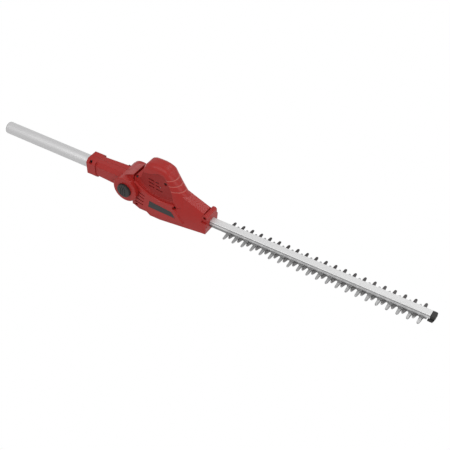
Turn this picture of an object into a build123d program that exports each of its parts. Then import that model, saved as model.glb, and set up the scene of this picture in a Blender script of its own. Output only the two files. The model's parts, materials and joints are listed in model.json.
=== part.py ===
from build123d import *
import math
import os

# A pole hedge trimmer head: a stub of pole, a neck clamped on it, a tilting motor head and a
# twin-blade cutter bar. All sizes are in millimetres. +X runs from the pole's free end to the
# blade tip, +Y is to the left of that, +Z is up. The origin is the centre of the tube's free end.

os.makedirs("parts", exist_ok=True)

# Clearances
fixed_fit = 0.05        # round a piece that is seated for good
running_fit = 0.08      # radial, round a shaft or a hinge
sliding_gap = 0.3       # between the flat faces of sliding blades
moving_gap = 0.6        # between shells that turn past each other

# Pole tube and the connector in its free end
tube_radius = 14.5
tube_wall = 1.5
tube_length = 300.0
tube_seat_radius = 14.2     # where the tube is turned down to seat in the neck
tube_seat_depth = 52.0
connector_length = 30.0
connector_rim = 1.0
socket_radius = 9.0
socket_depth = 16.0
pin_length = 8.0
tube_pin_radius = 2.0
tube_pin_half = 17.0
tube_pin_inset = 12.0   # from the seated end of the tube to its cross pin

# Neck: a collar round the tube, then a body that widens to the tilting barrel
collar_start = tube_length - tube_seat_depth
collar_length = 24.0
collar_slope = 10.8     # how far the collar's top runs down before it levels out
collar_drop = 2.4
collar_half_width = 21.5
collar_half_height = 22.5
collar_chamfer = 7.5
neck_half_width = 19.5
neck_half_height = 20.0
neck_widening = 2.5
neck_chamfer = 8.0
neck_bore = 12.0
neck_head_y = 14.0      # where the heads of the neck's side screws seat
neck_screw_length = 24.0
neck_line_rise = 0.8    # half the height of the two lines along each side of the neck

# Side screws of the neck and the head
side_screw_radius = 1.5
side_screw_head = 2.9
side_screw_head_height = 2.2
cross_depth = 1.2
well_gap = 0.9          # round a side screw's head

# Tilting barrel, whose axis runs along Y
pivot_x = 364.7
pivot_z = -2.7
barrel_radius = 30.3
barrel_wall = 2.8
barrel_half_width = 36.5
barrel_end_wall = 3.0
tilt_range = 65.0       # degrees that the head can tilt down

# Knuckle: the part of the head that turns inside the barrel
knuckle_half_width = 22.0
knuckle_bore = 12.0
web_half_width = 17.0
web_half_height = 11.5

# Lock button, its toothed hub and its spring
button_radius = 16.3
button_travel = 5.0
button_stand_out = button_travel + 1.0
hub_radius = 10.6
hub_teeth = 12
hub_tooth_height = 0.9
hub_length = 21.0
spring_wire = 0.6
spring_radius = 6.0
spring_turns = 8

# Motor head shells
shell_wall = 2.5
head_length = 204.4     # from the barrel's axis to the front face of the nose
motor_behind_nose = 132.1
waist_half_width = 21.2
belly_half_width = 23.5
panel_half_width = 26.2
hump_height = 81.4      # above the origin
shoulder_half_width = 22.0
shoulder_height = 35.5
belly_depth = 61.0      # below the origin
panel_bevel = 2.2
hump_flat_reach = 41.2  # from the motor's axis to the end of the hump's flat sides, at z 0
hump_front_reach = 88.5
hump_flat_lean = 0.222  # how far each of these draws back for each millimetre up
hump_front_lean = 0.74
hump_side_lean = 0.026
hump_foot = -16.0
crown_line = [(-49, 2), (-41, 33), (-28.5, 69.8), (-22, 77.6), (-14, 80.8), (-3, 81.4), (9, 81.4), (19, 79.8)]
crown_line += [(28, 76.4), (37, 69.2), (94, 11.0)]     # along from the motor's axis, and up
crown_round = 12.0
sweep_lead = 20.5       # from the motor's axis to the centre of the curved line under the hump
sweep_z = 100.0
sweep_radius = 103.5
recess_depth = 1.1
recess_step = 0.55
recess_ring = 4.0
recess_wall = 1.4         # what is left behind the recess's floor
groove_heights = (30.0, 42.5, 55.0)
groove_width = 2.4
groove_depth = 1.0
nose_ridge_half = 13.0
nose_ridge_height = 31.4    # where the nose comes out of the hump
nose_ridge_slope = 0.4
nose_shoulder_half = 18.3
nose_shoulder_z = -5.5
nose_edge_z = -16.7
collar_bar_half = 20.0
collar_bar_radius = 6.2
collar_bar_z = -6.0
collar_bar_slant = 3.0
front_wall = 13.0       # how far the nose's solid front reaches back
wiper_thickness = 3.4
vent_width = 2.8
boss_radius = 4.8
housing_screw_length = 26.0

# Motor, its gears and the twin crank
motor_radius = 17.0
motor_length = 54.0
motor_shaft_radius = 1.6
motor_wall = 1.5
commutator_radius = 5.0
gear_module = 1.0
pinion_teeth = 10
gear_teeth = 34
gear_thickness = 6.0
crank_radius = 5.5      # half the stroke of each blade
cam_radius = 10.0
crank_shaft_radius = 3.0
gear_shaft_radius = 4.0
bearing_radius = 5.0
yoke_slack = 0.22 * crank_radius

# Cutter bar
rail_half_width = 8.0
rail_height = 9.4
rail_top = -18.5
rail_end = 1072.0
rail_behind_nose = 77.1
tooth_pitch = 22.0
first_tooth_lead = 47.4     # from the nose to the first long tooth of the upper blade
last_tooth_margin = 15.0    # the least that the rail runs on past the last tooth
upper_short_lead = 8.0      # from a long tooth of the upper blade to its next short one
lower_blade_lag = 4.9       # how far the lower blade's long teeth stand behind the upper one's at rest
lower_short_lead = 13.0
blade_thickness = 2.2
blade_half_width = 8.5
long_reach = 30.0
short_reach = 20.5
tooth_root_width = 12.0
tooth_waist_width = 8.2
tooth_tip_width = 6.0
edge_angle = 30.0       # degrees that a ground cutting edge leans back
bar_bolt_lead = 30.9        # from the nose to the first bolt along the bar
bar_bolt_pitch = 110.0
bar_bolt_margin = 25.0
clamp_bolt_pitch = 20.0
bolt_radius = 2.0
bolt_head_radius = 4.0
bolt_head_height = 2.6
sleeve_radius = 3.2
flange_radius = 6.5
flange_thickness = 1.0
guard_length = 10.6
guard_cheek = 3.6       # how far the guard's lower half reaches back round the blade ends
guard_floor = 1.1

# Heights that follow from the sizes above
rail_bottom = rail_top - rail_height
upper_blade_top = rail_bottom - sliding_gap
lower_blade_top = upper_blade_top - blade_thickness - sliding_gap
lower_blade_bottom = lower_blade_top - blade_thickness
plate_top = lower_blade_bottom - sliding_gap
plate_thickness = 3.2
case_floor = 3.9
case_radius = 18.9      # inside the case, round the drive gear
case_floor_half = 18.0
case_wall = 2.2
case_top = rail_bottom + 14.3
case_screw_places = [(-12.5, 17.6), (-12.5, -17.6), (18.0, 12.5), (18.0, -12.5)]    # from the gear's axis
post_places = [(-27.0, 14.0), (-27.0, -14.0), (28.0, 14.0), (28.0, -14.0)]
cover_thickness = 3.2
cover_top = case_top + cover_thickness
gear_bottom = rail_bottom + case_floor + 1.5
plate_bottom = plate_top - plate_thickness
motor_top = cover_top + motor_length
nose_x = pivot_x + head_length
motor_x = nose_x - motor_behind_nose
gear_x = motor_x + gear_module * (pinion_teeth + gear_teeth) / 2
sweep_x = motor_x + sweep_lead
tube_pin_x = tube_length - tube_pin_inset
beyond = rail_end + 100     # past everything
rail_rear = nose_x - rail_behind_nose
first_tooth_x = nose_x + first_tooth_lead
tooth_count = 1 + int((rail_end - last_tooth_margin - first_tooth_x) / tooth_pitch)
bar_bolt_first = nose_x + bar_bolt_lead
bar_bolt_count = 1 + int((rail_end - bar_bolt_margin - bar_bolt_first) / bar_bolt_pitch)


def block(x0, x1, y0, y1, z0, z1):
    """A box between two corners."""
    centre = Pos((x0 + x1) / 2, (y0 + y1) / 2, (z0 + z1) / 2)
    return centre * Box(x1 - x0, y1 - y0, z1 - z0)


def round_x(x0, x1, y, z, radius):
    """A cylinder along X."""
    return Pos((x0 + x1) / 2, y, z) * Rot(0, 90, 0) * Cylinder(radius, x1 - x0)


def round_y(y0, y1, x, z, radius):
    """A cylinder along Y."""
    return Pos(x, (y0 + y1) / 2, z) * Rot(90, 0, 0) * Cylinder(radius, y1 - y0)


def round_z(z0, z1, x, y, radius):
    """A cylinder along Z."""
    return Pos(x, y, (z0 + z1) / 2) * Cylinder(radius, z1 - z0)


def side_prism(points, y0, y1):
    """A side outline of (x, z) points, carried from y0 to y1."""
    outline = Polyline([(x, y0, z) for x, z in points], close=True)
    return extrude(make_face(outline), amount=y1 - y0, dir=(0, 1, 0))


def plan_prism(points, z0, z1):
    """A plan outline of (x, y) points, carried from z0 to z1."""
    outline = Polyline([(x, y, z0) for x, y in points], close=True)
    return extrude(make_face(outline), amount=z1 - z0, dir=(0, 0, 1))


def section_loft(x0, points0, x1, points1):
    """A straight-sided body between two (y, z) outlines."""
    rear = make_face(Polyline([(x0, y, z) for y, z in points0], close=True))
    front = make_face(Polyline([(x1, y, z) for y, z in points1], close=True))
    return loft([rear, front], ruled=True)


def octagon(half_width, half_height, chamfer):
    """The (y, z) corners of a box section with cut corners."""
    corners = []
    for side_y, side_z in ((1, 1), (-1, 1), (-1, -1), (1, -1)):
        flat = (side_y * (half_width - chamfer), side_z * half_height)
        upright = (side_y * half_width, side_z * (half_height - chamfer))
        corners += [upright, flat] if side_y == side_z else [flat, upright]
    return corners


def turned(angle, radius):
    """The (x, z) point at an angle and a radius from the barrel's axis."""
    turn = math.radians(angle)
    return (pivot_x + radius * math.cos(turn), pivot_z + radius * math.sin(turn))


def left_half(body):
    return body & block(-beyond, beyond, 0, beyond, -beyond, beyond)


def right_half(body):
    return body & block(-beyond, beyond, -beyond, 0, -beyond, beyond)


def save(name, *solids):
    """Writes one node: one solid, or a group of separate solids."""
    shape = solids[0] if len(solids) == 1 else Compound(children=list(solids))
    export_step(shape, f"parts/{name}.step")


# ---------------------------------------------------------------- pole tube and connector


def pole_tube():
    outer = round_x(0, collar_start, 0, 0, tube_radius) + round_x(0, tube_length, 0, 0, tube_seat_radius)
    bore = round_x(0, tube_length, 0, 0, tube_radius - tube_wall)
    return outer - bore - tube_pin_hole()


def pole_connector():
    plug = round_x(0, connector_length, 0, 0, tube_radius - tube_wall - fixed_fit)
    rim = round_x(-connector_rim, 0, 0, 0, tube_radius - 0.3)
    socket = round_x(-connector_rim, socket_depth, 0, 0, socket_radius)
    body = plug + rim - socket
    for pin in connector_pins():
        body -= pin
    return body


def connector_pins():
    """Three flat contact pins that stand in the socket."""
    pins = []
    for y in (-4.0, 0.0, 4.0):
        pins.append(block(socket_depth - pin_length, connector_length + 4, y - 0.4, y + 0.4, -2, 2))
    return pins


# ---------------------------------------------------------------- neck


def neck_outside():
    collar_end = collar_start + collar_length
    collar = octagon(collar_half_width, collar_half_height, collar_chamfer)
    slim = octagon(neck_half_width, neck_half_height, neck_chamfer)
    wide = octagon(neck_half_width + neck_widening, neck_half_height + neck_widening, neck_chamfer)
    body = section_loft(collar_start, collar, collar_end, collar)
    ledge = collar_half_height - collar_drop
    above = [
        (collar_start - 1, collar_half_height + collar_drop / collar_slope),
        (collar_start + collar_slope, ledge),
        (collar_end + 1, ledge),
        (collar_end + 1, collar_half_height + 5),
        (collar_start - 1, collar_half_height + 5),
    ]
    body -= side_prism(above, -collar_half_width, collar_half_width)
    body += section_loft(collar_end, slim, pivot_x - 14, wide)
    return body


def barrel_outside():
    barrel = round_y(-barrel_half_width, barrel_half_width, pivot_x, pivot_z, barrel_radius)
    rims = barrel.edges().filter_by(GeomType.CIRCLE)
    return chamfer(rims, 1.2)


def barrel_hood():
    """The stop above the barrel, which keeps the head from tilting up past straight."""
    top = turned(67, 44.2)
    points = [
        turned(113, barrel_radius - 0.8),
        turned(88, barrel_radius + 4.5),
        top,
        (top[0] - 0.3, top[1] - 3),
        turned(56, barrel_radius - 1.5),
        turned(85, barrel_radius - 1.5),
    ]
    return side_prism(points, -shoulder_half_width, shoulder_half_width)


def barrel_slot():
    """The mouth in the barrel's wall that the knuckle's web swings through."""
    half_turn = math.degrees(math.asin(web_half_height / (barrel_radius - barrel_wall))) + 2.5
    start = -half_turn - tilt_range
    rim = barrel_radius * 1.6
    points = [(pivot_x, pivot_z)]
    steps = 8
    for i in range(steps + 1):
        points.append(turned(start + (half_turn - start) * i / steps, rim))
    return side_prism(points, -web_half_width - moving_gap, web_half_width + moving_gap)


def neck_screw_places():
    """Side screws: x, z and the side (-1 right, 1 left) that each is driven from."""
    collar_x = collar_start + 11
    across = collar_half_height - 5
    return [
        (collar_x, across, -1),
        (collar_x, -across, -1),
        (pivot_x - 22.6, across + 2, 1),
        (pivot_x - 35, -across, 1),
    ]


def side_screw(x, z, side, head_y, length):
    """A pan-head screw along Y, with its head at head_y and a cross recess."""
    outer = head_y + side_screw_head_height
    head = round_y(*sorted((side * head_y, side * outer)), x, z, side_screw_head)
    shank = round_y(*sorted((side * (head_y - length), side * head_y)), x, z, side_screw_radius)
    across = sorted((side * (outer - cross_depth), side * (outer + 1)))
    recess = block(x - 1.6, x + 1.6, *across, z - 0.4, z + 0.4)
    recess += block(x - 0.4, x + 0.4, *across, z - 1.6, z + 1.6)
    return head + shank - recess


def screw_seat(x, z, side, head_y, length):
    """What a side screw needs cut away: its head's well and its shank's hole."""
    well = round_y(*sorted((side * head_y, side * (head_y + 40))), x, z, side_screw_head + well_gap)
    hole = round_y(*sorted((side * (head_y - length), side * head_y)), x, z, side_screw_radius + fixed_fit)
    return well + hole


def neck_screws():
    return [side_screw(x, z, s, neck_head_y, neck_screw_length) for x, z, s in neck_screw_places()]


def neck_body():
    """Both neck halves as one piece, before they are parted."""
    body = neck_outside() + barrel_outside() + barrel_hood()
    inside = barrel_half_width - barrel_end_wall
    body -= round_y(-inside, inside, pivot_x, pivot_z, barrel_radius - barrel_wall)
    body -= round_x(collar_start - 1, tube_length, 0, 0, tube_seat_radius + fixed_fit)
    body -= round_x(tube_length - 1, pivot_x, 0, 0, neck_bore)
    body -= barrel_slot()
    body -= round_y(-barrel_half_width - 1, -inside + 1, pivot_x, pivot_z, button_radius + 0.4)
    line_start = collar_start + collar_length + 10
    line_end = pivot_x - barrel_radius - 4.4
    for side in (-1, 1):
        across = sorted((side * (neck_half_width + 1.2), side * (neck_half_width + 6.2)))
        for z in (-2.0, -7.5):
            body -= block(line_start, line_end, *across, z - neck_line_rise, z + neck_line_rise)
    for x, z, side in neck_screw_places():
        body -= screw_seat(x, z, side, neck_head_y, neck_screw_length)
    body += pivot_post()
    body -= tube_pin_hole()
    return body


def pivot_post():
    """A hollow post on the barrel's left wall, which carries the spring."""
    inside = barrel_half_width - barrel_end_wall
    post = round_y(knuckle_half_width - 10, inside + 0.5, pivot_x, pivot_z, knuckle_bore - running_fit)
    return post - round_y(0, inside - 6, pivot_x, pivot_z, spring_radius + 1)


def tube_pin_hole():
    return round_y(-tube_pin_half, tube_pin_half, tube_pin_x, 0, tube_pin_radius + fixed_fit)


def tube_pin():
    """The cross pin that keeps the neck from turning or pulling off the tube."""
    return round_y(-tube_pin_half, tube_pin_half, tube_pin_x, 0, tube_pin_radius)


def lock_ring():
    """The toothed ring in the barrel that the button's hub always slides in."""
    near = -knuckle_half_width - 0.5
    ring = round_y(near - 3, near, pivot_x, pivot_z, barrel_radius - barrel_wall - fixed_fit)
    return ring - spline(hub_radius + running_fit, near - 4, near + 1)


def spline(radius, y0, y1):
    """A toothed bar along Y."""
    bar = round_y(y0, y1, pivot_x, pivot_z, radius)
    tooth_radius = radius + hub_tooth_height
    teeth = []
    for i in range(hub_teeth):
        tooth = block(0, tooth_radius, y0, y1, -1.1, 1.1)
        teeth.append(Pos(pivot_x, 0, pivot_z) * Rot(0, 360 * i / hub_teeth, 0) * tooth)
    return bar + teeth


def lock_hub():
    """The toothed hub behind the button, with a blind hole for the spring."""
    rear = -barrel_half_width + barrel_end_wall + 2.6
    hub = spline(hub_radius, rear, rear + hub_length)
    return hub - round_y(rear + 6, rear + hub_length + 1, pivot_x, pivot_z, spring_radius + 1)


def lock_button():
    """The round button: a domed face with grip grooves, and a rim that holds it in the barrel."""
    wall_inside = -barrel_half_width + barrel_end_wall
    face = -barrel_half_width - button_stand_out
    cap = round_y(face, wall_inside + 0.6, pivot_x, pivot_z, button_radius)
    front = cap.edges().filter_by(GeomType.CIRCLE).sort_by(Axis.Y)[0]
    cap = fillet(front, 1.6)
    rim = round_y(wall_inside + 0.3, wall_inside + 2.6, pivot_x, pivot_z, button_radius + 2.2)
    body = cap + rim
    for offset in (-5.5, 0.0, 5.5):
        groove = side_ring(pivot_x - 24 + offset, pivot_z, 24.0, 1.6, face - 1, face + 0.9)
        limit = round_y(face - 1, face + 2, pivot_x, pivot_z, button_radius - 3.5)
        body -= groove & limit
    return body


def side_ring(x, z, radius, width, y0, y1):
    """A flat ring whose axis runs along Y."""
    outer = round_y(y0, y1, x, z, radius + width / 2)
    return outer - round_y(y0, y1, x, z, radius - width / 2)


def lock_spring():
    """A coil spring between the hub and the post."""
    start = -barrel_half_width + barrel_end_wall + 2.6 + 6 + spring_wire
    end = barrel_half_width - barrel_end_wall - 6 - spring_wire
    height = end - start
    path = Helix(height / spring_turns, height, spring_radius)
    wire = Plane(origin=path @ 0, z_dir=path % 0) * RegularPolygon(spring_wire, 8)
    coil = sweep(wire, path=path)
    return Pos(pivot_x, start, pivot_z) * Rot(-90, 0, 0) * coil


# ---------------------------------------------------------------- motor head shells


def d_section(z, rear, flat_end, front, half_width):
    """A plan outline at height z with a straight back and sides and a round front."""
    curve = EllipticalCenterArc((flat_end, 0), front - flat_end, half_width, start_angle=-90, arc_size=180)
    rest = Polyline((flat_end, half_width), (rear, half_width), (rear, -half_width), (flat_end, -half_width))
    return Pos(0, 0, z) * make_face(curve + rest)


def hump_flat_end(z):
    """Where the hump's flat sides end at height z."""
    return motor_x + hump_flat_reach - hump_flat_lean * z


def hump_front(z):
    """The hump's foremost point at height z."""
    return motor_x + hump_front_reach - hump_front_lean * z


def hump_side(z):
    """The hump's half width at height z."""
    return waist_half_width - hump_side_lean * z


def hump_slice(x, top, inset):
    """A face across the hump at x, with rounded upper corners."""
    low = hump_foot
    round_by = crown_round - inset / 2
    shoulder_z = top - round_by
    side = hump_side(top) - inset
    middle = 1 - math.sqrt(0.5)
    corner_y = side - middle * round_by
    corner_z = top - middle * round_by
    foot = hump_side(low) - inset
    upper = hump_side(shoulder_z) - inset
    left = Line((x, foot, low), (x, upper, shoulder_z))
    left_corner = ThreePointArc((x, upper, shoulder_z), (x, corner_y, corner_z), (x, side - round_by, top))
    across = Line((x, side - round_by, top), (x, round_by - side, top))
    right_corner = ThreePointArc((x, round_by - side, top), (x, -corner_y, corner_z), (x, -upper, shoulder_z))
    right = Line((x, -upper, shoulder_z), (x, -foot, low))
    base = Line((x, -foot, low), (x, foot, low))
    return make_face([left, left_corner, across, right_corner, right, base])


def hump(inset):
    """The motor dome: slices along its crown, cut to a round front."""
    slices = []
    for along, top in crown_line:
        x = motor_x + along + (inset if along < -25 else 0)
        slices.append(hump_slice(x, top - inset, inset))
    sections = []
    for z in (-6.0, hump_height + 4):
        half_width = hump_side(z) - inset + 0.6
        flat_end = hump_flat_end(z) - inset / 2
        sections.append(d_section(z, motor_x - 67, flat_end, hump_front(z) - inset, half_width))
    return loft(slices, ruled=True) & loft(sections, ruled=True)


def nose(inset):
    """The tapering nose over the gear and the rail."""
    def outline(ridge, side):
        upper = [(nose_ridge_half - inset / 2, ridge)]
        upper.append((nose_shoulder_half - inset, nose_shoulder_z - inset / 2))
        lower = [(side - inset, nose_edge_z - inset / 2), (side - inset, -30)]
        half = upper + lower
        return half + [(-y, z) for y, z in reversed(half)]
    rear_x = motor_x + 43
    front_x = nose_x - front_wall + 1
    rear = outline(nose_ridge_height - inset, belly_half_width)
    front = outline(nose_ridge_height - nose_ridge_slope * (front_x - rear_x) - inset, belly_half_width)
    return section_loft(rear_x, rear, front_x, front)


def belly_outline(inset):
    """The (x, z) side outline of the head below the hump."""
    bottom = -belly_depth + inset
    return [
        (pivot_x + 7.3, -10),
        (pivot_x + 9.3, bottom + 13.5),
        (pivot_x + 13.3, bottom + 13.5),
        (motor_x - 45, bottom + 7),
        (motor_x - 26, bottom + 7),
        (motor_x - 17, bottom),
        (motor_x + 10, bottom),
        (nose_x - 2.5 - inset, bottom + 15.3),
        (nose_x - inset, nose_edge_z - inset / 2),
        (motor_x + 43, nose_edge_z - inset / 2),
        (motor_x + 43, -10),
    ]


def sweep_outline(inset):
    """The (x, z) outline of the waist, up to the curved line under the hump."""
    rear = pivot_x + 19.5
    front = motor_x + 57 - inset
    return [(rear, -30), (rear, 28), (motor_x - 7, 40), (motor_x + 33, 20), (front, -7 - inset), (front, -30)]


def side_panel():
    """The raised panel on the right side, with bevelled edges, as far as the middle plane."""
    base = waist_half_width - 0.2
    outline = []
    steps = 8
    for i in range(steps + 1):
        turn = math.radians(228.5 + (286 - 228.5) * i / steps)
        outline.append((sweep_x + sweep_radius * math.cos(turn), sweep_z + sweep_radius * math.sin(turn)))
    outline += [(motor_x + 52.5, -12), (motor_x + 75, -43), (motor_x + 15, -55), (motor_x - 25, -49)]
    outline += [(pivot_x + 11.3, -44), (pivot_x + 11.3, 22)]
    panel = side_prism(outline, -panel_half_width, -base)
    return chamfer(panel.faces().sort_by(Axis.Y)[0].edges(), panel_bevel)


def front_collar():
    """The cross bar at the top of the nose that the front screw pulls together."""
    half = collar_bar_half
    top = collar_bar_z + collar_bar_radius
    middle = nose_x - collar_bar_radius - 0.3
    bar = block(nose_x - front_wall, nose_x, -half, half, -30, collar_bar_z)
    bar += round_y(-half, half, middle, collar_bar_z, collar_bar_radius)
    front = [(middle, collar_bar_z - 1), (nose_x, collar_bar_z - 1), (nose_x, top - collar_bar_slant)]
    front += [(nose_x - collar_bar_slant, top), (middle, top)]
    return bar + side_prism(front, -half, half)


def shoulder(inset):
    """The ledge between the barrel's hood and the hump."""
    rear = pivot_x + 19.3
    outline = [
        (rear + inset, 0),
        (rear + inset, shoulder_height - 2),
        (rear + 2 + inset, shoulder_height - inset),
        (motor_x - 25, shoulder_height - inset),
        (motor_x - 25, 0),
    ]
    half_width = shoulder_half_width - inset
    return side_prism(outline, -half_width, half_width)


def head_outside():
    body = side_prism(belly_outline(0), -belly_half_width, belly_half_width)
    body += side_prism(sweep_outline(0), -waist_half_width, waist_half_width)
    body += hump(0)
    body += nose(0)
    body += shoulder(0)
    body += front_collar()
    panel = side_panel()
    body += panel
    body += mirror(panel, about=Plane.XZ)
    return body - round_y(-beyond, beyond, pivot_x, pivot_z, barrel_radius + moving_gap)


def head_inside():
    inset = shell_wall
    half_width = belly_half_width - inset
    wall_rear = nose_x - front_wall
    room = side_prism(belly_outline(inset), -half_width, half_width)
    room &= block(pivot_x, wall_rear, -40, 40, -90, 0)
    core = hump_core(recess_depth + recess_wall)
    room += side_prism(sweep_outline(inset), -waist_half_width + inset, waist_half_width - inset) & core
    room += hump(inset)
    room += nose(inset) & block(pivot_x, wall_rear, -40, 40, -60, 60)
    room += shoulder(inset) & core
    return room - round_y(-beyond, beyond, pivot_x, pivot_z, barrel_radius + moving_gap + inset)


def knuckle():
    """The hollow drum that turns in the barrel, and the web that joins it to the head."""
    drum = round_y(
        -knuckle_half_width,
        knuckle_half_width,
        pivot_x,
        pivot_z,
        barrel_radius - barrel_wall - running_fit,
    )
    reach = pivot_x + barrel_radius + moving_gap + shell_wall
    low = pivot_z - web_half_height
    high = pivot_z + web_half_height
    web = block(pivot_x, reach, -web_half_width, web_half_width, low, high)
    body = drum + web
    body -= round_y(-40, 40, pivot_x, pivot_z, knuckle_bore)
    return body


def housing_screw_places():
    """Right-hand side screws of the head: x, z and how far out its head seats."""
    return [
        (motor_x + 27.5, 44.0, 15.0),
        (motor_x + 50.0, -8.5, 17.0),
        (nose_x - 5.6, -4.8, 14.0),
        (motor_x - 50.0, -41.0, 17.0),
    ]


def housing_screws():
    return [side_screw(x, z, -1, y, housing_screw_length) for x, z, y in housing_screw_places()]


def shoulder_screw_places():
    return [(pivot_x + 25, -18.0), (pivot_x + 25, 18.0)]


def shoulder_screws():
    """Two upright screws in the ledge behind the hump."""
    top = shoulder_height - 1.2
    screws = []
    for x, y in shoulder_screw_places():
        body = round_z(top - 1.8, top, x, y, 2.4) + round_z(top - 9, top - 1.8, x, y, 1.3)
        body -= block(x - 1.4, x + 1.4, y - 0.35, y + 0.35, top - 1, top + 1)
        body -= block(x - 0.35, x + 0.35, y - 1.4, y + 1.4, top - 1, top + 1)
        screws.append(body)
    return screws


def slots(places, depth0, depth1):
    """Vent slots in both sides: each is x, z, length and slope."""
    cuts = []
    half = vent_width / 2
    for x, z, length, slope in places:
        end = z + slope * length
        points = [(x, z - half), (x + length, end - half), (x + length, end + half), (x, z + half)]
        cuts.append(side_prism(points, depth0, depth1))
        cuts.append(side_prism(points, -depth1, -depth0))
    return cuts


def vents():
    upper = []
    for row, short in enumerate((8.5, 12.8, 17.2)):
        z = 42.0 - 9.2 * row
        upper.append((motor_x - 17.0, z, 14.8, -0.12))
        upper.append((motor_x + 1.6, z - 2.3, short, -0.12))
    lower = []
    for row in range(4):
        lower.append((pivot_x + 22.3 - row, 0.5 - 10.9 * row, 24.0 - row, 0.07 * row - 0.34))
    return slots(upper, 15.0, 30.0) + slots(lower, 18.0, 30.0)


def hump_core(depth):
    """What is left between the hump's leaning sides when each is sunk by a depth."""
    low = hump_side(hump_foot) - depth
    high = hump_side(sweep_z) - depth
    outline = [(low, hump_foot), (high, sweep_z), (-high, sweep_z), (-low, hump_foot)]
    return section_loft(pivot_x, outline, nose_x, outline)


def side_recess():
    """The sunk part of each side of the hump: steps along the curved line under it, then a leaning floor."""
    rear = motor_x - 60
    edge = [(rear, 50), (motor_x - 15.3, 56), (motor_x + 12, 66), (motor_x + 22, 65), (motor_x + 30, 57)]
    edge += [(motor_x + 43.9, 26), (motor_x + 50, hump_foot + 2), (rear, hump_foot + 2)]
    limit = side_prism(edge, -40, 40)
    cuts = []
    for step in range(3):
        radius = sweep_radius - recess_ring * (step + 1)
        low = waist_half_width - recess_step * (step + 1)
        disc = round_y(low, 40, sweep_x, sweep_z, radius) & limit
        cuts += [disc, mirror(disc, about=Plane.XZ)]
    disc = round_y(0, 40, sweep_x, sweep_z, sweep_radius - 3.5 * recess_ring) & limit
    floor = disc - hump_core(recess_depth)
    return cuts + [floor, mirror(floor, about=Plane.XZ)]


def dome_grooves():
    """Three grooves round the front of the hump, each with a flat roof and a sloping lower lip."""
    cuts = []
    rear = motor_x - 57
    for z in groove_heights:
        top = z + groove_width
        flat_end = hump_flat_end(z)
        outer = extrude(d_section(z, rear, flat_end + 3, hump_front(z) + 3, 24), amount=groove_width)
        lip = d_section(z, rear, flat_end, hump_front(z) + 0.1, hump_side(z) + 0.7)
        root_half = hump_side(top) - groove_depth + 0.6
        root = d_section(top, rear, hump_flat_end(top), hump_front(top) - groove_depth, root_half)
        ring = outer - loft([lip, root], ruled=True)
        cuts.append(ring & block(flat_end - 1, nose_x, -40, 40, z - 5, z + 5))
    return cuts


def mouth(x0, x1):
    """The room that the rail and blades take up between x0 and x1."""
    half_width = blade_half_width + 0.4
    return block(x0, x1, -half_width, half_width, lower_blade_bottom - 0.4, rail_top + fixed_fit)


def head_ribs():
    """Ribs inside the shells that seat the motor, the gear case and the wiper."""
    ribs = []
    seat = motor_radius + fixed_fit
    slab = block(motor_x - seat - 2, motor_x + seat + 6, -30, 30, 14, 16)
    ribs.append(slab - round_z(13, 17, motor_x, 0, seat))
    edge = case_floor_half + fixed_fit
    for side in (-1, 1):
        across = sorted((side * edge, side * 30))
        for x in (gear_x - 28, gear_x + 24):
            ribs.append(block(x, x + 2.4, *across, rail_bottom, rail_bottom + case_floor))
    for x in (gear_x - 12, gear_x + 22, nose_x - 40):
        ribs.append(block(x, x + 2, -30, 30, -60, plate_bottom - fixed_fit))
    x = nose_x - front_wall - wiper_thickness - 2.4
    ribs.append(block(x, x + 2.3, -30, 30, -60, 10) - mouth(x - 1, x + 4))
    return ribs


def head_body():
    """Both head shells as one piece, before they are parted."""
    outside = head_outside()
    shell = outside - head_inside()
    for x, z, depth in housing_screw_places():
        shell += round_y(-30, 30, x, z, boss_radius) & outside
    for x, y in shoulder_screw_places():
        shell += round_z(shoulder_height - 12, shoulder_height - 0.5, x, y, 3.4) & outside
    for rib in head_ribs():
        shell += rib & outside
    shell += knuckle()
    for x, z, depth in housing_screw_places():
        shell -= screw_seat(x, z, -1, depth, housing_screw_length)
    for x, y in shoulder_screw_places():
        top = shoulder_height - 1.2
        shell -= round_z(top - 1.8, top + 5, x, y, 3.2) + round_z(top - 9, top, x, y, 1.3 + fixed_fit)
    shell -= mouth(nose_x - 20, nose_x + 5)
    shell -= block(pivot_x + 10, motor_x - 32, -4, 4, pivot_z - 4, pivot_z + 4)
    shell -= label_pocket()
    for cut in vents() + side_recess() + dome_grooves():
        shell -= cut
    return shell


def label_points(grow):
    """The label's (x, z) corners, or those of its pocket when grown."""
    return [
        (motor_x - 13.5 - grow, -15.2 + grow),
        (motor_x + 44.3 + grow / 2, -20.8 + grow),
        (motor_x + 53.4 + grow, -34.5 - grow),
        (motor_x - 17.8 - grow, -33.5 - grow),
    ]


def label_pocket():
    return side_prism(label_points(0.3), -panel_half_width - 2, -panel_half_width + 0.8)


def label_plate():
    return side_prism(label_points(0), -panel_half_width - 0.1, -panel_half_width + 0.8)


# ---------------------------------------------------------------- motor


def motor_can():
    """A steel cup whose bottom stands on the gear cover."""
    can = round_z(cover_top, motor_top, motor_x, 0, motor_radius)
    can -= round_z(cover_top + motor_wall, motor_top + 1, motor_x, 0, motor_radius - motor_wall)
    can -= round_z(cover_top - 1, cover_top + 3, motor_x, 0, motor_shaft_radius + running_fit)
    for y in (-8.0, 8.0):
        can -= round_z(cover_top - 1, cover_top + 3, motor_x, y, 1.5 + fixed_fit)
    return can


def motor_screws():
    """Two screws that hold the motor to the gear cover from below."""
    screws = []
    for y in (-8.0, 8.0):
        head = round_z(case_top - 1.6, case_top, motor_x, y, 2.6)
        screws.append(head + round_z(case_top, cover_top + 1.4, motor_x, y, 1.5))
    return screws


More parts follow.
